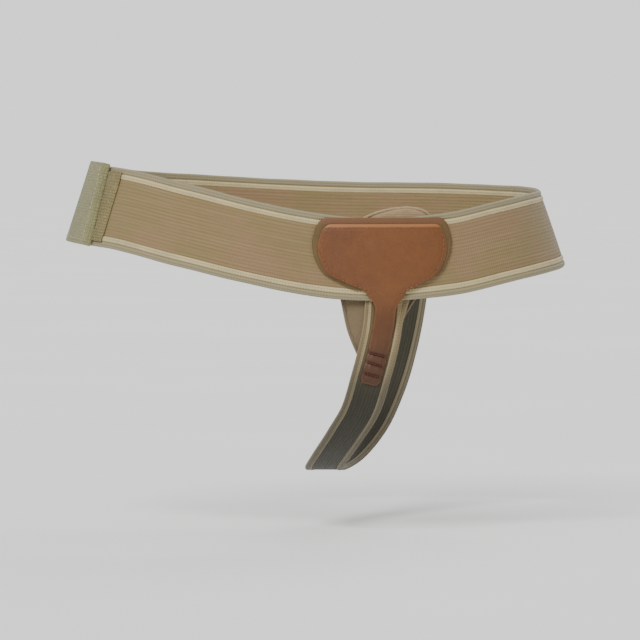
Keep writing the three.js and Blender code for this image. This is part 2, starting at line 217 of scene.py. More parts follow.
@lru_cache(maxsize=None)
def band_frame(length):
    """Origin, up and out of the band's face at a length."""
    angle = angle_at(length)
    along = (hip_line(angle + 0.5) - hip_line(angle - 0.5)).normalized()
    level_out = Vector((along.y, -along.x, 0)).normalized()
    upright = level_out.cross(along)
    lean = math.radians(HIP_LEAN * through(HIP_COURSE, 2, angle, 360))
    up = upright * math.cos(lean) - level_out * math.sin(lean)
    out = level_out * math.cos(lean) + upright * math.sin(lean)
    return hip_line(angle), up, out


def on_band(length, rise, depth):
    origin, up, out = band_frame(length)
    return origin + up * rise + out * depth


PLATE_LEVEL = on_band(PLATE_OFFSET, 0, 0).z


def level(aside, height, depth):
    """A point on the plate's level face, at a height above the band's middle line there."""
    origin, up, out = band_frame(PLATE_OFFSET + aside)
    rise = (PLATE_LEVEL + height - origin.z) / up.z
    return origin + up * rise + out * depth


CLOSURE_END = HIP_LOOP + length_to(CLOSURE_ANGLE)
CLOSURE_START = CLOSURE_END - HIP_LOOP - CLOSURE_OVERLAP
PATCH_DEPTH = EDGE_THICKNESS / 2 + GAP
UPPER_LAYER = PATCH_DEPTH + PATCH_THICKNESS + GAP + EDGE_THICKNESS / 2
TAB_DEPTH = UPPER_LAYER + EDGE_THICKNESS / 2 + GAP
BAND_END = CLOSURE_END - TAB_LIP - GAP
PLATE_DEPTH = EDGE_THICKNESS / 2 + GAP
FACING_DEPTH = PLATE_DEPTH + PLATE_THICKNESS + GAP
STRAP_DEPTH = -(EDGE_THICKNESS / 2 + STRAP_SEAT + STRAP_EDGE_THICKNESS / 2)
REAR_LENGTH = length_to(REAR_ANGLE)


def band_lift(length):
    lifted = CLOSURE_END - CLOSURE_OVERLAP
    return UPPER_LAYER * smooth(length, lifted - CLOSURE_RAMP, lifted)


def ripple(length, phase, size):
    """The small unevenness of worn elastic."""
    broad, fine = math.sin(length / 13 + phase), math.sin(length / 5.3 + 2.1 * phase)
    return size * (broad + 0.6 * fine) / 1.6


def strap_rows():
    """The strap's middle line as points, each with the way out of the strap's face."""
    rows = []
    for rise, aside in STRAP_FRONT:
        length = PLATE_OFFSET + aside * STRAP_WIDTH
        rows.append([on_band(length, rise * BAND_WIDTH, STRAP_DEPTH), band_frame(length)[2]])
    for across, back, down in STRAP_UNDER:
        point = Vector((across * PLATE_OFFSET, back * HIP_DEPTH / 2, -down * CROTCH_DROP))
        rows.append([point, None])
    for rise in STRAP_REAR:
        point = on_band(REAR_LENGTH, rise * BAND_WIDTH, -STRAP_DEPTH)
        rows.append([point, band_frame(REAR_LENGTH)[2]])
    for i, row in enumerate(rows):
        if row[1] is None:
            run = rows[i + 1][0] - rows[i - 1][0]
            row[1] = Vector((0, run.z, -run.y)).normalized()
    return rows


def curve_point(points, t):
    """The point at share t of a centripetal curve through points."""
    place = clamp(t) * (len(points) - 1)
    i = min(int(place), len(points) - 2)
    t = place - i
    p1, p2 = points[i], points[i + 1]
    p0 = points[i - 1] if i else points[0] * 2 - points[1]
    p3 = points[i + 2] if i + 2 < len(points) else points[-1] * 2 - points[-2]
    d0, d1, d2 = ((b - a).length_squared ** 0.25 for a, b in ((p0, p1), (p1, p2), (p2, p3)))
    d1 = d1 if d1 > NEAR else 1.0
    d0 = d0 if d0 > NEAR else d1
    d2 = d2 if d2 > NEAR else d1
    m1 = ((p1 - p0) / d0 - (p2 - p0) / (d0 + d1) + (p2 - p1) / d1) * d1
    m2 = ((p2 - p1) / d1 - (p3 - p1) / (d1 + d2) + (p3 - p2) / d2) * d1
    t2, t3 = t * t, t * t * t
    return (p1 * (2 * t3 - 3 * t2 + 1) + p2 * (3 * t2 - 2 * t3)
            + m1 * (t3 - 2 * t2 + t) + m2 * (t3 - t2))


STRAP_ROWS = strap_rows()
STRAP_POINTS = [row[0] for row in STRAP_ROWS]
STRAP_OUTS = [row[1] for row in STRAP_ROWS]
STRAP_REACHED = [0.0]
for i in range(STRAP_STEPS):
    here, there = (curve_point(STRAP_POINTS, j / STRAP_STEPS) for j in (i, i + 1))
    STRAP_REACHED.append(STRAP_REACHED[-1] + (there - here).length)
STRAP_LENGTH = STRAP_REACHED[STRAP_STEPS]
STRAP_TOP = STRAP_FRONT[0][0] * BAND_WIDTH


def band_roundness(length, reach):
    """How fast the band's face falls back beside a length, per square millimetre."""
    origin, _, out = band_frame(length)
    return (origin - band_frame(length + reach)[0]).dot(out) / reach ** 2


# shares of the strap's length over which it flattens in front and is rounded again behind
FLATTENED = (0.25, 0.4)
ROUNDED = (0.72, 0.86)
# on the strap's left and right side
FRONT_ROUNDNESS = [band_roundness(PLATE_OFFSET, side * STRAP_WIDTH / 2) for side in (1, -1)]
REAR_ROUNDNESS = [band_roundness(REAR_LENGTH, side * REAR_TAB_WIDTH / 2) for side in (-1, 1)]


@lru_cache(maxsize=None)
def strap_frame(length):
    """Origin, across, out and the roundness on both sides of the strap at a length."""
    length = clamp(length, 0, STRAP_LENGTH)
    i = next((i for i in range(STRAP_STEPS) if STRAP_REACHED[i + 1] >= length), STRAP_STEPS - 1)
    low, high = STRAP_REACHED[i], STRAP_REACHED[i + 1]
    t = (i + (length - low) / (high - low)) / STRAP_STEPS
    along = (curve_point(STRAP_POINTS, t + NEAR) - curve_point(STRAP_POINTS, t - NEAR)).normalized()
    out = curve_point(STRAP_OUTS, t)
    out = (out - along * out.dot(along)).normalized()
    share = length / STRAP_LENGTH
    front, rear = 1 - smooth(share, *FLATTENED), smooth(share, *ROUNDED)
    roundness = [a * front + b * rear for a, b in zip(FRONT_ROUNDNESS, REAR_ROUNDNESS)]
    return curve_point(STRAP_POINTS, t), out.cross(along), out, roundness


def on_strap(length, aside, depth):
    origin, across, out, roundness = strap_frame(length)
    fall = roundness[0 if aside > 0 else 1] * aside * aside
    return origin + across * aside + out * (depth - fall)


def edge_breadth(length, side):
    """The strap's left edge is broader where it leaves the band."""
    if side < 0:
        return 1
    left = 1 - smooth(length, STRAP_FLARE_LENGTH * 0.6, STRAP_FLARE_LENGTH)
    return 1 + STRAP_FLARE * left / STRAP_EDGE_WIDTH


# half widths of the elastic between the woven edges
BAND_MIDDLE = BAND_WIDTH / 2 - EDGE_WIDTH
STRAP_MIDDLE = STRAP_WIDTH / 2 - STRAP_EDGE_WIDTH

# how far from its ends each strip is rounded
BAND_ROUNDING = 1.2
STRAP_ROUNDING = 0.9
PATCH_ROUNDING = FACING_ROUNDING = REAR_TAB_ROUNDING = 0.8
TAB_ROUNDING = 0.7
PLATE_ROUNDING = 1.0


# Building meshes

ROUNDING_STEPS = [0.0, 0.12, 0.35, 0.65]  # shares of a rounded end


def stations(first, last, step, rounding):
    """Lengths from first to last, with a few close ones where the ends are rounded."""
    count = max(2, round((last - first) / step))
    inner = [mix(first + rounding, last - rounding, i / count) for i in range(count + 1)]
    start = [first + rounding * share for share in ROUNDING_STEPS]
    return start + inner + [last - rounding * share for share in reversed(ROUNDING_STEPS)]


def end_swell(length, first, last, rounding):
    """Thickness as a share, down to a fifth at a rounded end."""
    d = min(length - first, last - length)
    if d >= rounding:
        return 1.0
    return 0.2 + 0.8 * math.sqrt(max(0.0, 1 - (1 - d / rounding) ** 2))


def slab_ring(half, thickness, faces):
    """The section of a flat strip with round edges: across, depth and the way round it."""
    r = thickness / 2
    ring = [(mix(-(half - r), half - r, i / faces), r) for i in range(faces + 1)]
    for turn in (60, 30, 0, -30, -60):
        a = math.radians(turn)
        ring.append((half - r + r * math.cos(a), r * math.sin(a)))
    ring += [(x, -z) for x, z in reversed(ring[:faces + 1])]
    ring += [(-x, -z) for x, z in ring[faces + 1:faces + 6]]
    return close_ring(ring)


def close_ring(ring):
    """Repeats a ring's first point at its end, and adds the way round to each point."""
    closed, way = [], 0.0
    for i in range(len(ring) + 1):
        point = ring[i % len(ring)]
        if i:
            before = ring[i - 1]
            way += math.hypot(point[0] - before[0], point[1] - before[1])
        closed.append((point[0], point[1], way))
    return closed


def loft(name, lengths, ring, place, closed=False, rim=None, ways=None):
    """Carries a ring along lengths. place(length, across, depth) gives each point.

    rim gives each point a value that the finish reads (wear, painted highlight and painted shade on
    the leather, the place across a woven edge), and ways the cloth's own length where it differs
    from lengths.
    """
    bm = bmesh.new()
    uv = bm.loops.layers.uv.new("UVMap")
    worn = bm.verts.layers.float.new("rim")
    ways = ways or lengths
    steps, sides = len(lengths) - 1, len(ring) - 1
    bmesh.ops.create_grid(bm, x_segments=steps, y_segments=sides, size=1.0)
    spots = {}
    for vert in bm.verts:
        x, y, _ = vert.co
        spots[vert] = round((x + 1) / 2 * steps), round((y + 1) / 2 * sides)
    for face in bm.faces:
        for loop in face.loops:
            i, j = spots[loop.vert]
            loop[uv].uv = (ways[i] * MM, ring[j][2] * MM)
    for vert, (i, j) in spots.items():
        x, z, _ = ring[j]
        vert.co = place(lengths[i], x, z) * MM
        vert[worn] = rim(lengths[i], x, z) if rim else 0.0
    bmesh.ops.remove_doubles(bm, verts=bm.verts[:], dist=2e-6)
    if not closed:
        ends = [edge for edge in bm.edges if edge.is_boundary]
        caps = bmesh.ops.holes_fill(bm, edges=ends, sides=0)["faces"]
        for edge in ends:
            edge.smooth = False
        for loop in (loop for face in caps for loop in face.loops):
            i, j = spots[loop.vert]
            loop[uv].uv = ((ways[i] + ring[j][1]) * MM, ring[j][0] * MM)
    bmesh.ops.recalc_face_normals(bm, faces=bm.faces[:])
    return finished(name, bm)


def linked(name, data):
    holder = bpy.data.objects.new(name, data)
    bpy.context.scene.collection.objects.link(holder)
    return holder


def finished(name, bm, soft=True):
    """Turns a mesh under construction into an object of the scene."""
    mesh = bpy.data.meshes.new(name)
    for face in bm.faces:
        face.smooth = soft
    bm.to_mesh(mesh)
    bm.free()
    return linked(name, mesh)


def settle(piece, material, slot, *nodes):
    """Gives a piece its finish, its body and the frame pieces that it stands for."""
    piece.data.materials.append(material)
    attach(piece, "root")
    if nodes:
        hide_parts(*nodes)


def stitch_row(name, spots, length, radius):
    """Short thread stitches. Each spot is a point, the way along the seam and the way out."""
    bm = bmesh.new()
    for point, along, out in spots:
        along = along.normalized()
        out = (out - along * out.dot(along)).normalized()
        side = out.cross(along)
        turn = Matrix((along, side, out)).transposed().to_4x4()
        size = Matrix.Diagonal((length / 2 * MM, radius * MM, radius * 0.8 * MM, 1))
        place = Matrix.Translation(point * MM) @ turn @ size @ Matrix.Rotation(math.pi / 2, 4, "Y")
        bmesh.ops.create_uvsphere(bm, u_segments=6, v_segments=5, radius=1.0, matrix=place)
    bmesh.ops.recalc_face_normals(bm, faces=bm.faces[:])
    return finished(name, bm)


def along_path(points, outs, pitch, start):
    """Spots at an even pitch on a line of points."""
    spots, due = [], start
    reached = 0.0
    for a, b, out in zip(points, points[1:], outs):
        step = (b - a).length
        while step > NEAR and due <= reached + step:
            spots.append((a.lerp(b, (due - reached) / step), b - a, out))
            due += pitch
        reached += step
    return spots


# Finishes

class Nodes:
    """Adds the nodes of one tree."""

    def __init__(self, tree):
        self.tree = tree

    def node(self, kind, **settings):
        found = self.tree.nodes.new(kind)
        for key, value in settings.items():
            setattr(found, key, value)
        return found

    def feed(self, target, socket, source):
        if hasattr(source, "is_linked"):
            self.tree.links.new(source, target.inputs[socket])
        else:
            target.inputs[socket].default_value = source

    def math(self, operation, a, b=0.0):
        found = self.node("ShaderNodeMath", operation=operation)
        self.feed(found, 0, a)
        self.feed(found, 1, b)
        return found.outputs[0]

    def blend(self, factor, a, b):
        found = self.node("ShaderNodeMix", data_type="RGBA")
        self.feed(found, 0, factor)
        self.feed(found, 6, a)
        self.feed(found, 7, b)
        return found.outputs[2]

    def span(self, value, low, high, to_low=0.0, to_high=1.0):
        found = self.node("ShaderNodeMapRange", interpolation_type="SMOOTHSTEP")
        for socket, source in enumerate((value, low, high, to_low, to_high)):
            self.feed(found, socket, source)
        return found.outputs[0]

    def place(self):
        return self.node("ShaderNodeTexCoord").outputs["Object"]

    def flat(self):
        return self.node("ShaderNodeUVMap", uv_map="UVMap").outputs["UV"]

    def scaled(self, vector, x, y):
        found = self.node("ShaderNodeVectorMath", operation="MULTIPLY")
        self.feed(found, 0, vector)
        self.feed(found, 1, (x, y, 1.0))
        return found.outputs[0]

    def parts(self, vector):
        found = self.node("ShaderNodeSeparateXYZ")
        self.feed(found, 0, vector)
        return found.outputs

    def rim(self):
        return self.node("ShaderNodeAttribute", attribute_name="rim").outputs["Fac"]

    def noise(self, vector, scale, detail=4.0, roughness=0.55):
        found = self.node("ShaderNodeTexNoise")
        self.feed(found, "Vector", vector)
        self.feed(found, "Scale", scale)
        self.feed(found, "Detail", detail)
        self.feed(found, "Roughness", roughness)
        return found.outputs["Fac"]

    def group(self, tree, **values):
        found = self.node("ShaderNodeGroup", node_tree=tree)
        for key, value in values.items():
            self.feed(found, key.replace("_", " "), value)
        return found.outputs


class Finish(Nodes):
    """A material with its own shader."""

    def __init__(self, name, roughness, sheen=0.0, coat=0.0):
        self.material = bpy.data.materials.new(name)
        self.material.use_nodes = True
        super().__init__(self.material.node_tree)
        self.shader = self.tree.nodes["Principled BSDF"]
        for socket, value in (("Roughness", roughness), ("Sheen Weight", sheen),
                              ("Sheen Roughness", 0.5), ("Coat Weight", coat),
                              ("Coat Roughness", 0.35), ("Specular IOR Level", 0.35)):
            self.feed(self.shader, socket, value)

    def relief(self, height, strength, distance):
        found = self.node("ShaderNodeBump")
        self.feed(found, "Height", height)
        self.feed(found, "Strength", strength)
        self.feed(found, "Distance", distance)
        self.feed(self.shader, "Normal", found.outputs[0])


class Group(Nodes):
    """A node group that takes a vector and some numbers, and gives numbers."""

    def __init__(self, name, vector, numbers, outputs):
        super().__init__(bpy.data.node_groups.new(name, "ShaderNodeTree"))
        rows = [(vector, "INPUT", "NodeSocketVector")]
        rows += [(label, "INPUT", "NodeSocketFloat") for label in numbers]
        rows += [(label, "OUTPUT", "NodeSocketFloat") for label in outputs]
        for label, way, kind in rows:
            self.tree.interface.new_socket(name=label, in_out=way, socket_type=kind)
        self.source = self.node("NodeGroupInput").outputs
        self.result = self.node("NodeGroupOutput")


def colour(red, green, blue):
    """A colour from its 0 to 255 screen values."""
    shares = [value / 255 for value in (red, green, blue)]
    return (*[((c + 0.055) / 1.055) ** 2.4 if c > 0.04 else c / 12.92 for c in shares], 1.0)


def woven_ribs():
    """Fine ribs along the cloth, crossed by a thinner thread. Pitches are in metres."""
    g = Group("woven ribs", "Flat", ["Rib Pitch", "Thread Pitch", "Twill"], ["Height"])

    def wave(length, pitch, shift=0.0):
        turn = g.math("MULTIPLY", g.math("DIVIDE", length, g.source[pitch]), 2 * math.pi)
        swing = g.math("SINE", g.math("ADD", turn, shift))
        return g.math("MULTIPLY", g.math("ADD", swing, 1.0), 0.5)

    u, v, _ = g.parts(g.source["Flat"])
    slanted = g.math("ADD", u, g.math("MULTIPLY", v, g.source["Twill"]))
    rib = wave(v, "Rib Pitch")
    crossed = wave(slanted, "Thread Pitch", g.math("MULTIPLY", rib, 2.2))
    height = g.math("ADD", g.math("MULTIPLY", rib, 0.6), g.math("MULTIPLY", crossed, 0.4))
    g.feed(g.result, "Height", height)
    return g.tree


def soft_mottle():
    """Uneven dye and slight soiling, as a value round 0.5."""
    g = Group("soft mottle", "Place", ["Scale"], ["Mask"])
    broad = g.noise(g.source["Place"], g.source["Scale"], 3.0)
    fine = g.noise(g.source["Place"], g.math("MULTIPLY", g.source["Scale"], 9.0), 4.0, 0.65)
    mask = g.math("ADD", g.math("MULTIPLY", broad, 0.65), g.math("MULTIPLY", fine, 0.35))
    g.feed(g.result, "Mask", mask)
    return g.tree


def hide_grain():
    """Pebbled leather with fine wrinkles."""
    g = Group("hide grain", "Place", ["Scale"], ["Height", "Crease"])
    warp = g.node("ShaderNodeVectorMath", operation="SCALE")
    noise = g.node("ShaderNodeTexNoise")
    g.feed(noise, "Vector", g.source["Place"])
    g.feed(noise, "Scale", 260.0)
    g.feed(warp, 0, noise.outputs["Color"])
    g.feed(warp, "Scale", 0.0022)
    moved = g.node("ShaderNodeVectorMath", operation="ADD")
    g.feed(moved, 0, g.source["Place"])
    g.feed(moved, 1, warp.outputs[0])
    cells = g.node("ShaderNodeTexVoronoi", feature="DISTANCE_TO_EDGE")
    g.feed(cells, "Vector", moved.outputs[0])
    g.feed(cells, "Scale", g.source["Scale"])
    pebble = g.span(cells.outputs["Distance"], 0.0, 0.22)
    fold = g.noise(g.source["Place"], 90.0, 5.0, 0.6)
    height = g.math("ADD", g.math("MULTIPLY", pebble, 0.6), g.math("MULTIPLY", fold, 0.9))
    g.feed(g.result, "Height", height)
    g.feed(g.result, "Crease", g.math("SUBTRACT", 1.0, pebble))
    return g.tree


def nap():
    """Short hooks or loops standing off a tape."""
    g = Group("nap", "Flat", ["Scale"], ["Height"])
    cells = g.node("ShaderNodeTexVoronoi", feature="F1")
    g.feed(cells, "Vector", g.source["Flat"])
    g.feed(cells, "Scale", g.source["Scale"])
    g.feed(cells, "Randomness", 0.55)
    g.feed(g.result, "Height", g.span(cells.outputs["Distance"], 0.1, 0.6, 1.0, 0.0))
    return g.tree


WOVEN_RIBS = woven_ribs()
SOFT_MOTTLE = soft_mottle()
HIDE_GRAIN = hide_grain()
NAP = nap()


def elastic(name, base, tint, light, dark, rib, crossing, paler=None):
    """Ribbed elastic: a dye that drifts between two tints, paler streaks and shaded furrows.

    rib and crossing are pitches in metres. paler gives a colour for its first stretch and the
    lengths between which that colour ends.
    """
    f = Finish(name, 0.9, sheen=0.1)
    flat = f.flat()
    weave = f.group(WOVEN_RIBS, Flat=flat, Rib_Pitch=rib, Thread_Pitch=crossing)
    drift = f.group(SOFT_MOTTLE, Place=f.place(), Scale=26.0)["Mask"]
    toned = f.blend(f.span(drift, 0.4, 0.6), colour(*base), colour(*tint))
    streak = f.noise(f.scaled(flat, 22.0, 900.0), 1.0, 3.0)
    toned = f.blend(f.span(streak, 0.38, 0.72, 0.0, 0.26), toned, colour(*light))
    if paler:
        first = f.span(f.parts(flat)[0], *paler[1:], 0.8, 0.0)
        toned = f.blend(first, toned, colour(*paler[0]))
    shaded = f.blend(f.span(weave["Height"], 0.6, 0.05, 0.0, 0.28), toned, colour(*dark))
    f.feed(f.shader, "Base Color", shaded)
    f.feed(f.shader, "Roughness", f.span(weave["Height"], 0.0, 1.0, 0.97, 0.82))
    f.relief(weave["Height"], 0.7, 0.0003)
    return f.material


def woven_edge(name, bright, rolled, groove, shaded=None):
    """A selvedge with a bright inner ridge, a groove darkened with painted shade, and a darker
    rolled outer part whose darkness is partly its own greyer colour and partly painted shade.

    shaded gives a colour for all but its first stretch and the lengths between which it sets in.
    """
    f = Finish(name, 0.82, sheen=0.12)
    flat = f.flat()
    weave = f.group(WOVEN_RIBS, Flat=flat, Rib_Pitch=0.0021, Thread_Pitch=0.0017, Twill=0.8)
    rim = f.rim()
    mottle = f.group(SOFT_MOTTLE, Place=f.place(), Scale=60.0)["Mask"]
    ridge = f.blend(f.span(mottle, 0.4, 0.64, 0.0, 0.3), colour(*bright), colour(*rolled))
    # The rolled outer part is darker: partly its own greyer colour, partly painted shade.
    toned = f.blend(f.span(rim, 0.42, 0.56), ridge, colour(*rolled))
    # Painted shade in the groove between the ridge and the rolled part.
    aside = f.math("ABSOLUTE", f.math("MULTIPLY", f.math("SUBTRACT", rim, 0.48), 14.0))
    groove_shade = f.math("MULTIPLY", f.span(f.math("SUBTRACT", 1.0, aside), 0.0, 1.0), 0.6)
    if shaded:
        rest = f.span(f.parts(flat)[0], *shaded[1:], 0.0, 0.75)
        toned = f.blend(rest, toned, colour(*shaded[0]))
    toned = f.blend(groove_shade, toned, colour(*groove))
    # Painted shade in the furrows of the weave.
    furrow_shaded = f.blend(f.span(weave["Height"], 0.5, 0.05, 0.0, 0.5), toned, colour(*groove))
    f.feed(f.shader, "Base Color", furrow_shaded)
    f.feed(f.shader, "Roughness", f.span(weave["Height"], 0.0, 1.0, 0.92, 0.72))
    f.relief(weave["Height"], 0.8, 0.0004)
    return f.material


def leather(name, base, light, dark, worn, roughness, darkening=None):
    """Smooth leather, darker in its creases, with painted shade in its grooves and a worn colour
    along its rim that is partly painted highlight.

    darkening gives a colour and the lengths between which it darkens the leather as painted shade.
    """
    f = Finish(name, roughness, coat=0.1)
    place = f.place()
    grain = f.group(HIDE_GRAIN, Place=place, Scale=1300.0)
    mottle = f.group(SOFT_MOTTLE, Place=place, Scale=24.0)["Mask"]
    toned = f.blend(f.span(mottle, 0.34, 0.66), colour(*dark), colour(*light))
    toned = f.blend(0.7, toned, colour(*base))
    # Painted shade along the lengths given by darkening.
    if darkening:
        painted_shade_down = f.span(f.parts(f.flat())[0], *darkening[1:], 0.0, 0.85)
        toned = f.blend(painted_shade_down, toned, colour(*darkening[0]))
    toned = f.blend(f.math("MULTIPLY", grain["Crease"], 0.3), toned, colour(*dark))
    # The rim's colour: partly wear, partly painted highlight.
    uneven = f.math("ADD", 0.6, f.math("MULTIPLY", f.noise(place, 140.0), 0.7))
    wear_and_highlight = f.span(f.math("MULTIPLY", f.rim(), uneven), 0.2, 0.8, 0.0, 0.85)
    toned = f.blend(wear_and_highlight, toned, colour(*worn))
    # Painted shade in the grooves pressed under the bars, where the rim is below zero.
    toned = f.blend(f.span(f.rim(), -0.1, -0.8, 0.0, 0.7), toned, colour(*dark))
    f.feed(f.shader, "Base Color", toned)
    f.feed(f.shader, "Roughness", f.span(mottle, 0.3, 0.7, roughness - 0.07, roughness + 0.1))
    f.relief(grain["Height"], 0.5, 0.0002)
    return f.material


def tape(name, base, light, dark, scale, depth):
    """Hook or loop tape: rows of short standing threads on a woven ground."""
    f = Finish(name, 0.92, sheen=0.1)
    flat = f.flat()
    stand = f.group(NAP, Flat=flat, Scale=scale)
    ground = f.group(WOVEN_RIBS, Flat=flat, Rib_Pitch=0.0018, Thread_Pitch=0.0018)
    mottle = f.group(SOFT_MOTTLE, Place=f.place(), Scale=38.0)["Mask"]
    toned = f.blend(f.span(mottle, 0.3, 0.7, 0.0, 0.4), colour(*base), colour(*dark))
    # Painted shade in the furrows of the woven ground.
    toned = f.blend(f.span(ground["Height"], 0.5, 0.05, 0.0, 0.5), toned, colour(*dark))
    # Painted highlight on the tips of the standing threads.
    toned = f.blend(f.math("MULTIPLY", stand["Height"], 0.6), toned, colour(*light))
    f.feed(f.shader, "Base Color", toned)
    f.feed(f.shader, "Roughness", f.span(mottle, 0.3, 0.7, 0.88, 0.98))
    f.relief(f.math("ADD", stand["Height"], ground["Height"]), 0.7, depth)
    return f.material


def pad_cloth():
    """Soft beige cover of the pad, whose fine check follows the object's own axes."""
    f = Finish("pad cloth", 0.95, sheen=0.4)
    place = f.place()
    x, _, z = f.parts(place)
    joined = f.node("ShaderNodeCombineXYZ")
    f.feed(joined, 0, x)
    f.feed(joined, 1, z)
    weave = f.group(WOVEN_RIBS, Flat=joined.outputs[0], Rib_Pitch=0.0012, Thread_Pitch=0.0012)
    mottle = f.group(SOFT_MOTTLE, Place=place, Scale=45.0)["Mask"]
    toned = f.blend(f.span(mottle, 0.34, 0.66), colour(144, 121, 89), colour(164, 142, 110))
    # Painted shade: the cover darkens towards its lower end.
    toned = f.blend(f.span(z, 0.0, -0.03, 0.0, 0.85), toned, colour(94, 80, 59))
    # Painted shade in the furrows of the weave.
    toned = f.blend(f.span(weave["Height"], 0.35, 0.0, 0.0, 0.35), toned, colour(92, 74, 48))
    f.feed(f.shader, "Base Color", toned)
    f.feed(f.shader, "Roughness", f.span(weave["Height"], 0.0, 1.0, 1.0, 0.86))
    f.relief(f.math("ADD", weave["Height"], f.noise(place, 500.0)), 0.5, 0.0003)
    return f.material


def thread(name, base, dark, sheen=0.2):
    """Twisted sewing thread."""
    f = Finish(name, 0.6, sheen=sheen)
    place = f.place()
    fibre = f.noise(place, 1800.0, 2.0)
    toned = f.blend(f.span(fibre, 0.3, 0.7), colour(*dark), colour(*base))
    f.feed(f.shader, "Base Color", toned)
    f.relief(fibre, 0.5, 0.0001)
    return f.material


TAN = elastic("tan elastic", (120, 103, 68), (128, 103, 75), (150, 132, 98), (84, 68, 42),
              rib=0.0021, crossing=0.0015)
# The strap's elastic is dark and paler only near the band: partly its own olive colour, partly
# painted shade that falls on it lower down.
OLIVE = elastic("olive elastic", (42, 40, 29), (47, 44, 34), (65, 61, 48), (23, 21, 15),
                rib=0.0019, crossing=0.0014, paler=((108, 90, 58), 0.045, 0.105))
CREAM = woven_edge("cream woven edge", (187, 171, 127), (137, 127, 99), (82, 68, 44))
STRAP_CREAM = woven_edge("strap woven edge", (160, 141, 106), (124, 107, 76), (66, 55, 35),
                         shaded=((76, 74, 63), 0.05, 0.1))
DARK_LEATHER = leather("khaki brown leather", (96, 74, 38), (108, 86, 48), (66, 48, 24),
                       (104, 68, 42), roughness=0.6)
# The facing darkens down its tongue: painted shade.
BROWN_LEATHER = leather("orange brown leather", (108, 62, 23), (122, 76, 33), (64, 32, 12),
                        (148, 96, 54), roughness=0.5, darkening=((56, 33, 16), 0.035, 0.09))
PALE_TAPE = tape("pale loop tape", (124, 121, 86), (148, 145, 108), (95, 90, 60),
                 scale=650.0, depth=0.0004)
KHAKI_TAPE = tape("khaki hook tape", (118, 107, 70), (144, 132, 92), (78, 68, 41),
                  scale=560.0, depth=0.0005)
PAD_CLOTH = pad_cloth()
CREAM_THREAD = thread("cream thread", (178, 165, 130), (136, 122, 90))
BROWN_THREAD = thread("brown thread", (72, 31, 11), (46, 18, 6), sheen=0.0)
TAN_THREAD = thread("tan thread", (140, 90, 50), (96, 58, 30), sheen=0.05)


# Hip band

BACK_SHARE = 0.94  # a woven edge's back stands up a little less than its face


def edge_ring(width, thickness, side):
    """A woven edge's section: ridge, groove and rolled outer part on both faces."""
    half = thickness / 2
    ring = [(side * width * x, half * z) for x, z in EDGE_FACE] + [(side * width, 0.0)]
    ring += [(side * width * x, -half * z * BACK_SHARE) for x, z in reversed(EDGE_FACE)]
    return close_ring(ring)


def band_swell(length):
    return end_swell(length, CLOSURE_START, BAND_END, BAND_ROUNDING)


def build_band():
    lengths = stations(CLOSURE_START, BAND_END, 4.5, BAND_ROUNDING)
    half = BAND_MIDDLE + GAP

    def middle(length, x, z):
        thick = z * (band_swell(length) + 0.12 * math.cos(x / half * math.pi / 2))
        return on_band(length, x, band_lift(length) + thick + ripple(length, 0.4, 0.12))

    piece = loft("band_elastic", lengths, slab_ring(half, BAND_THICKNESS, 12), middle)
    settle(piece, TAN, "tan_elastic", "waist_band")
    for side, name, node in ((1, "band_upper_selvedge", "upper_edge"),
                             (-1, "band_lower_selvedge", "lower_edge")):
        def woven(length, x, z, side=side):
            uneven = ripple(length, 1.7 * side, 0.16) * abs(x) / EDGE_WIDTH
            rise = side * BAND_MIDDLE + x + uneven
            return on_band(length, rise, band_lift(length) + z * band_swell(length))

        ring = edge_ring(EDGE_WIDTH, EDGE_THICKNESS, side)
        piece = loft(name, lengths, ring, woven, rim=lambda _, x, z: abs(x) / EDGE_WIDTH)
        settle(piece, CREAM, "cream_edge", node)


# Closure

TAB_SEAM_INSET = 3.2
BOX_PITCH = 3.0


def build_patch():
    first, last = CLOSURE_END - CLOSURE_OVERLAP + GAP, CLOSURE_END + PATCH_SHOWING
    middle = PATCH_DEPTH + PATCH_THICKNESS / 2

    def patch(length, x, z):
        """Slanted at its outer end, and pressed down there on to the elastic."""
        swell = end_swell(length, first, last, PATCH_ROUNDING)
        slant = PATCH_SLANT * (0.5 - x / PATCH_HEIGHT) * (length - first) / (last - first)
        clear = 1 - smooth(abs(x), BAND_MIDDLE - 2, BAND_MIDDLE - 0.4)
        pressed = smooth(length, last - 4, last - 1) * clear
        sunk = (PATCH_DEPTH - BAND_THICKNESS / 2 - 0.12) * pressed
        return on_band(length - slant, x, middle - sunk + z * swell)

    lengths = stations(first, last - 4, 5, PATCH_ROUNDING)[:-len(ROUNDING_STEPS)]
    lengths += [last - back for back in (3.2, 2.4, 1.6, 0.8, 0.5, 0.3, 0.1, 0)]
    ring = slab_ring(PATCH_HEIGHT / 2, PATCH_THICKNESS, 8)
    piece = loft("closure_hook_patch", lengths, ring, patch)
    settle(piece, KHAKI_TAPE, "khaki_hook", "hook_patch")


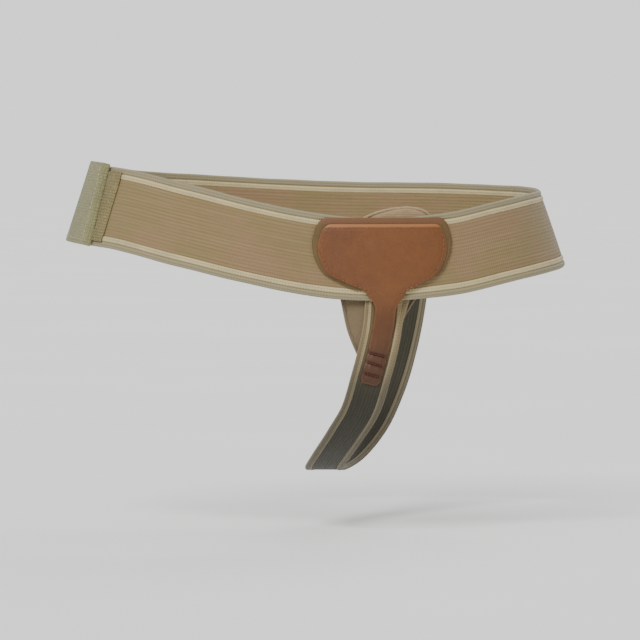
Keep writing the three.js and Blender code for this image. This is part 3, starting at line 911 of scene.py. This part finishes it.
def build_tab():
    start, end = CLOSURE_END - TAB_LENGTH, CLOSURE_END
    half = BAND_WIDTH / 2 + TAB_OVERHANG
    lip_depth = UPPER_LAYER - EDGE_THICKNESS / 2 - GAP
    lip_start = end - TAB_LIP

    def tab(length, x, z):
        """Flat along the band, with a rounded end that turns down to the patch."""
        turn = smooth(length, lip_start - 0.2, lip_start + 0.3)
        if turn > 0:
            corner = 0.9 * smooth(length, end - 6, lip_start)
            corner += 2.0 * smooth(length, lip_start, end) ** 2
            inner, outer = mix(TAB_DEPTH, lip_depth, turn), TAB_DEPTH + TAB_THICKNESS - corner
            depth = mix(inner, outer, z / TAB_THICKNESS + 0.5)
        else:
            swell = end_swell(length, start, end, TAB_ROUNDING) if length < start + 5 else 1.0
            depth = TAB_DEPTH + TAB_THICKNESS / 2 + z * swell
        return on_band(length, x, depth + ripple(length, 2.0, 0.1) * (1 - turn))

    lengths = stations(start, end - 6.6, 3, TAB_ROUNDING)
    lengths += [end - back for back in (5.6, 4.8, 4, 3.2, 2.4, TAB_LIP + 0.25, TAB_LIP - 0.35,
                                        0.7, 0.4, 0.15, 0)]
    face = [tab(length, 0, TAB_THICKNESS / 2) for length in lengths]
    ways = [start]
    for before, here in zip(face, face[1:]):
        ways.append(ways[-1] + (here - before).length)
    piece = loft("closure_tab_tape", lengths, slab_ring(half, TAB_THICKNESS, 14), tab, ways=ways)
    settle(piece, PALE_TAPE, "pale_tab", "closure_tab")

    def tab_face(length, rise):
        return on_band(length, rise, TAB_DEPTH + TAB_THICKNESS), band_frame(length)[2]

    low, high, side = start + TAB_SEAM_INSET, end - TAB_SEAM_INSET, half - TAB_SEAM_INSET
    corners = [(low, side), (high, side), (high, -side), (low, -side), (low, side)]
    settle(box_seam("closure_tab_stitches", corners, tab_face), CREAM_THREAD, "pale_tab")


def box_seam(name, corners, place):
    """Stitches along straight runs between corners. place gives a face's point and way out."""
    spots = []
    for (a0, b0), (a1, b1) in zip(corners, corners[1:]):
        steps = max(2, round(math.hypot(a1 - a0, b1 - b0)))
        run = [place(mix(a0, a1, i / steps), mix(b0, b1, i / steps)) for i in range(steps + 1)]
        points = [point + out * 0.12 for point, out in run]
        spots += along_path(points, [out for _, out in run], BOX_PITCH, BOX_PITCH / 2)
    return stitch_row(name, spots, length=2.16, radius=0.34)


# Leather plate, facing and tongue, in the scene

SECTION_HALF = 40  # half width of a section that is scaled to the leather's own width


def plate_half(down):
    return PLATE_WIDTH / 2 * through(PLATE_OUTLINE, 1, down)


def build_plate():
    middle = PLATE_DEPTH + PLATE_THICKNESS / 2

    def plate(down, x, z):
        share = down / PLATE_HEIGHT
        swell = end_swell(down, 0, PLATE_HEIGHT, PLATE_ROUNDING)
        aside = plate_half(share) * x / SECTION_HALF
        return level(aside, PLATE_TOP - down, middle + z * swell)

    lengths = stations(0, PLATE_HEIGHT, 1.6, PLATE_ROUNDING)
    ring = slab_ring(SECTION_HALF, PLATE_THICKNESS, 30)
    piece = loft("leather_backing", lengths, ring, plate,
                 rim=lambda down, x, z: 1 - smooth(down, 2.6, 5))
    settle(piece, DARK_LEATHER, "dark_leather", "leather_plate")


FACING_TOP = PLATE_TOP - FACING_INSET
LEAF_HEIGHT = PLATE_HEIGHT - FACING_INSET
FACING_LENGTH = LEAF_HEIGHT + TONGUE_LENGTH
CLEAR_OF_BAND = BAND_WIDTH / 2 + FACING_TOP + GAP * 4
BARS = [FACING_LENGTH - back for back in (18.4, 12.2, 6)]
BAR_SINK = 0.55
BAR_INSET = 1.6
BAR_PITCH = 1.5
SEAM_INSET = 2.4
SEAM_SINK = 0.22
SEAM_PITCH = 2.9
FACING_CLOSING = 0.35  # depth at which the facing's rounded ends close


def facing_half(run):
    """Half width of the facing and its tongue at a run down from its top."""
    down = clamp(run / LEAF_HEIGHT)
    leaf = (PLATE_WIDTH / 2 - FACING_INSET) * through(PLATE_OUTLINE, 1, down)
    neck = smooth(run, LEAF_HEIGHT - NECK_SPREAD / 6, LEAF_HEIGHT + NECK_SPREAD)
    rounded = 0.72 + 0.28 * smooth(FACING_LENGTH - run, 0, 3.5)
    return mix(leaf, TONGUE_WIDTH / 2, neck) * rounded


def on_facing(run, aside, depth):
    """The facing lies level on the plate, then turns on to the leg strap."""
    leaf = level(aside, FACING_TOP - run, FACING_DEPTH + depth)
    lowered = smooth(run, CLEAR_OF_BAND, CLEAR_OF_BAND + TONGUE_DROP)
    seat = mix(FACING_DEPTH - STRAP_DEPTH, STRAP_THICKNESS / 2 + GAP, lowered)
    tongue = on_strap(STRAP_TOP - FACING_TOP + run, aside, seat + depth)
    return leaf.lerp(tongue, smooth(run, LEAF_HEIGHT - NECK_SPREAD, LEAF_HEIGHT + NECK_SPREAD / 2))


def facing_out(run, aside):
    below = on_facing(run, aside, 0)
    return (on_facing(run, aside, 1) - below).normalized()


def near_bar(run, reach):
    """How close a run is to one of the bars across the tongue, from 0 to 1."""
    return sum(math.exp(-((run - bar) / reach) ** 2) for bar in BARS)


def facing_relief(run, aside):
    """How far the leather stands up: full inside, thin at its rim, pressed in at the bars."""
    edge = min(facing_half(run) - abs(aside), run, FACING_LENGTH - run)
    fullness = 0.62 + 0.5 * smooth(edge, 0, 3.2)
    seam_dip = SEAM_SINK * math.exp(-((edge - SEAM_INSET) / 0.7) ** 2)
    fold = 0.1 * math.sin(run / 6.5 + aside / 9) * smooth(run, 4, 12) * (1 - smooth(run, 46, 60))
    raised = FACING_THICKNESS * fullness + fold * smooth(edge, 2, 8)
    return raised - seam_dip - BAR_SINK * near_bar(run, 1.1)


def facing_spots(line, lift, pitch, start):
    """Spots for stitches along a line of runs and distances aside, lifted off the leather."""
    points = [on_facing(run, aside, facing_relief(run, aside) + lift) for run, aside in line]
    return along_path(points, [facing_out(run, aside) for run, aside in line], pitch, start)


def build_facing():
    def facing(run, x, z):
        aside = facing_half(run) * x / SECTION_HALF
        swell = end_swell(run, 0, FACING_LENGTH, FACING_ROUNDING)
        bottom = FACING_CLOSING * (1 - swell)
        top = mix(FACING_CLOSING, facing_relief(run, aside), swell)
        return on_facing(run, aside, mix(bottom, top, clamp(z / FACING_THICKNESS + 0.5)))

    def worn(run, x, z):
        """Paler along its top and its rim, which is partly wear and partly painted highlight,
        strongest along the top, and below zero under the bars, for painted shade in their pressed
        grooves.
        """
        edge = min(facing_half(run) * (1 - abs(x) / SECTION_HALF), FACING_LENGTH - run)
        wear_and_highlight = max(1 - smooth(run, 0.8, 2.8), 0.45 * (1 - smooth(edge, 0, 2)))
        return wear_and_highlight - 1.4 * near_bar(run, 1.3)

    lengths = stations(0, FACING_LENGTH, 0.9, FACING_ROUNDING)
    ring = slab_ring(SECTION_HALF, FACING_THICKNESS, 36)
    piece = loft("leather_front", lengths, ring, facing, rim=worn)
    settle(piece, BROWN_LEATHER, "brown_leather", "leather_facing")

    side_line, across = [], facing_half(SEAM_INSET) - SEAM_INSET
    for i in range(60):
        run = mix(LEAF_HEIGHT + 4, SEAM_INSET, i / 59)
        side_line.append((run, SEAM_INSET - facing_half(run)))
    path = side_line + [(SEAM_INSET, mix(-across, across, i / 40)) for i in range(1, 40)]
    path += [(run, -aside) for run, aside in reversed(side_line)]
    spots = facing_spots(path, 0.2, SEAM_PITCH, 1.4)
    piece = stitch_row("leather_front_stitches", spots, length=2.1, radius=0.3)
    settle(piece, TAN_THREAD, "brown_leather")

    spots, half = [], TONGUE_WIDTH / 2 - BAR_INSET
    for bar in BARS:
        line = [(bar, mix(-half, half, i / 12)) for i in range(13)]
        spots += facing_spots(line, 0.22, BAR_PITCH, 0.6)
    piece = stitch_row("tongue_bar_stitches", spots, length=1.8, radius=0.85)
    settle(piece, BROWN_THREAD, "brown_leather")


# Groin pad, in the scene

PAD_BACK = STRAP_DEPTH - STRAP_EDGE_THICKNESS / 2 - STRAP_SEAT
COVER_SHRINK = 0.8
SWELL_LIMIT = 1.2
SWELL_FRAMES = 14
PIPING_RADIUS = 0.95
PIPING_SHRINK = 0.5
PIPING_STEPS = 120
PIPING_SIDES = 10


def pad_place(down, turn, shrink):
    """A point on the pad's skin: down from 0 to 1, turn round the section from its left edge."""
    ring = math.sqrt(max(1 - (1 - 2 * down) ** 2, 0.0))
    across, deep = -math.cos(turn), -math.sin(turn)
    left, right = through(PAD_OUTLINE, 1, down), through(PAD_OUTLINE, 2, down)
    aside = PAD_SHIFT + (PAD_WIDTH / 2 - shrink) * mix(left, right, (across + 1) / 2)
    swell = PAD_RIM / 2 + (PAD_DOME - PAD_RIM / 2) * ring if deep < 0 else PAD_RIM / 2
    depth = PAD_BACK - PAD_RIM / 2 + max(swell - shrink, 0.5) * deep * (1 if ring > 0 else 0)
    height = PAD_TOP - shrink - (PAD_HEIGHT - 2 * shrink) * down
    return level(aside, height, depth)


def build_pad():
    bm = bmesh.new()
    bmesh.ops.create_uvsphere(bm, u_segments=48, v_segments=36, radius=1.0)
    for vert in bm.verts:
        x, y, z = vert.co
        vert.co = pad_place(clamp((1 - z) / 2), math.atan2(-y, -x), COVER_SHRINK) * MM
    bmesh.ops.recalc_face_normals(bm, faces=bm.faces[:])
    piece = finished("pad_cover", bm)
    plump(piece)
    settle(piece, PAD_CLOTH, "pad_cloth", "groin_pad")

    def rim_line(t):
        """Once round the pad's edge, down its left side and up its right."""
        half = t * 2 if t < 0.5 else 2 - t * 2
        down = (1 - math.cos(math.pi * half)) / 2
        return pad_place(down, 0.0 if t < 0.5 else math.pi, PIPING_SHRINK)

    centres = [rim_line(i / PIPING_STEPS) for i in range(PIPING_STEPS)]
    out = band_frame(PLATE_OFFSET + PAD_SHIFT)[2]

    def piping(i, x, z):
        along = centres[(i + 1) % PIPING_STEPS] - centres[(i - 1) % PIPING_STEPS]
        side = along.cross(out).normalized()
        return centres[i % PIPING_STEPS] + side * x + out * z

    turns = [math.tau * i / PIPING_SIDES for i in range(PIPING_SIDES)]
    ring = close_ring([(PIPING_RADIUS * math.cos(a), PIPING_RADIUS * math.sin(a)) for a in turns])
    piece = loft("pad_piping", list(range(PIPING_STEPS + 1)), ring, piping, closed=True)
    settle(piece, PAD_CLOTH, "pad_cloth")


def plump(piece):
    """Swells the pad's cover over its filling with a short cloth simulation."""
    scene = bpy.context.scene
    before = [vertex.co.copy() for vertex in piece.data.vertices]
    cloth = piece.modifiers.new("cover", "CLOTH")
    settings = cloth.settings
    settings.use_pressure = True
    settings.uniform_pressure_force = 4.0
    settings.effector_weights.gravity = 0.0
    settings.quality = 6
    settings.mass = 0.25
    settings.tension_stiffness = settings.compression_stiffness = 25
    settings.shear_stiffness = 12
    for number in range(1, SWELL_FRAMES + 1):
        scene.frame_set(number)
    shaped = piece.evaluated_get(bpy.context.evaluated_depsgraph_get())
    after = [vertex.co.copy() for vertex in shaped.data.vertices]
    piece.modifiers.remove(cloth)
    scene.frame_set(1)
    limit = SWELL_LIMIT * MM
    for vertex, old, new in zip(piece.data.vertices, before, after):
        move = new - old
        vertex.co = old + (move if move.length < limit else move.normalized() * limit)


# Leg strap, in the scene

REAR_SEAM_INSET = 3


def strap_swell(length):
    return end_swell(length, 0, STRAP_LENGTH, STRAP_ROUNDING)


def build_strap():
    lengths = stations(0, STRAP_LENGTH, 3.5, STRAP_ROUNDING)

    def middle(length, x, z):
        return on_strap(length, x, z * strap_swell(length))

    ring = slab_ring(STRAP_MIDDLE + GAP, STRAP_THICKNESS, 8)
    settle(loft("strap_elastic", lengths, ring, middle), OLIVE, "olive_elastic", "leg_strap")
    for side, name, node in ((-1, "strap_right_selvedge", "strap_right_edge"),
                             (1, "strap_left_selvedge", "strap_left_edge")):
        def woven(length, x, z, side=side):
            uneven = ripple(length, 0.9 * side, 0.12) * abs(x) / STRAP_EDGE_WIDTH
            aside = side * STRAP_MIDDLE + x * edge_breadth(length, side) + uneven
            return on_strap(length, aside, z * strap_swell(length))

        ring = edge_ring(STRAP_EDGE_WIDTH, STRAP_EDGE_THICKNESS, side)
        piece = loft(name, lengths, ring, woven, rim=lambda _, x, z: abs(x) / STRAP_EDGE_WIDTH)
        settle(piece, STRAP_CREAM, "cream_edge", node)


def build_rear_tab():
    start = STRAP_LENGTH - REAR_TAB_LENGTH
    tab_middle = STRAP_EDGE_THICKNESS / 2 + GAP + REAR_TAB_THICKNESS / 2

    def tab(length, x, z):
        swell = end_swell(length, start, STRAP_LENGTH, REAR_TAB_ROUNDING)
        return on_strap(length, x, tab_middle + z * swell)

    lengths = stations(start, STRAP_LENGTH, 3, REAR_TAB_ROUNDING)
    ring = slab_ring(REAR_TAB_WIDTH / 2, REAR_TAB_THICKNESS, 10)
    settle(loft("rear_tab_tape", lengths, ring, tab), PALE_TAPE, "pale_tab", "rear_tab")

    def tab_face(length, aside):
        return on_strap(length, aside, tab_middle + REAR_TAB_THICKNESS / 2), strap_frame(length)[2]

    low, high = start + REAR_SEAM_INSET, STRAP_LENGTH - REAR_SEAM_INSET
    half = REAR_TAB_WIDTH / 2 - REAR_SEAM_INSET
    corners = [(low, half), (high, half), (high, -half), (low, -half),
               (low, half), (high, -half), (high, half), (low, -half)]
    settle(box_seam("rear_tab_stitches", corners, tab_face), CREAM_THREAD, "pale_tab")


# Room, light and camera

FLOOR_SHARE = 0.885  # what the floor gives back of the light that falls on it
AMBIENT = 0.65
CAMERA_RISE = math.radians(2.0)
# in metres
FLOOR_REACH = 40.0
FLOOR_HEIGHT = -0.185
CAMERA_TARGET = Vector((0.0, 0.0, -0.055))
CAMERA_DISTANCE = 2.8


def sun(name, place, strength, spread):
    """A sun that shines from place to the origin. Gives the light that falls on a level floor."""
    lamp = bpy.data.lights.new(name, "SUN")
    lamp.energy = strength
    lamp.angle = math.radians(spread)
    holder = linked(name, lamp)
    holder.location = place
    holder.rotation_euler = (-Vector(place)).to_track_quat("-Z", "Y").to_euler()
    return strength * Vector(place).normalized().z


def build_room():
    bm = bmesh.new()
    bmesh.ops.create_grid(bm, x_segments=2, y_segments=2, size=FLOOR_REACH)
    floor = finished("floor", bm, soft=False)
    floor.location = (0, 0, FLOOR_HEIGHT)
    f = Finish("pale floor", 1.0)
    f.feed(f.shader, "Specular IOR Level", 0.0)
    tone = f.span(f.noise(f.place(), 2.0, 2.0), 0.3, 0.7)
    f.feed(f.shader, "Base Color", f.blend(tone, colour(239, 240, 238), colour(242, 243, 241)))
    floor.data.materials.append(f.material)

    fallen = sun("key", (-0.7, -1.85, 1.5), strength=3.2, spread=25)
    fallen += sun("back", (0.7, 1.6, 1.3), strength=1.2, spread=35)

    # The room behind the floor's edge is as bright as the floor, so the two meet without a line.
    world = bpy.context.scene.world or bpy.data.worlds.new("studio")
    bpy.context.scene.world = world
    world.use_nodes = True
    tree = world.node_tree
    air = tree.nodes["Background"]
    air.inputs["Color"].default_value = (0.97, 0.98, 0.97, 1)
    seen = tree.nodes.new("ShaderNodeMapRange")
    seen.inputs["To Min"].default_value = AMBIENT
    seen.inputs["To Max"].default_value = FLOOR_SHARE * (AMBIENT + fallen / math.pi)
    rays = tree.nodes.new("ShaderNodeLightPath")
    tree.links.new(rays.outputs["Is Camera Ray"], seen.inputs["Value"])
    tree.links.new(seen.outputs["Result"], air.inputs["Strength"])


def build_camera():
    lens = bpy.data.cameras.new("camera")
    lens.sensor_width = 36
    lens.lens = 252
    lens.clip_end = 50
    holder = linked("camera", lens)
    way = Vector((0, -math.cos(CAMERA_RISE), math.sin(CAMERA_RISE)))
    holder.location = CAMERA_TARGET + way * CAMERA_DISTANCE
    holder.rotation_euler = (-way).to_track_quat("-Z", "Y").to_euler()
    bpy.context.scene.camera = holder


build_room()
build_camera()
build_band()
build_patch()
build_tab()
build_plate()
build_facing()
build_pad()
build_strap()
build_rear_tab()
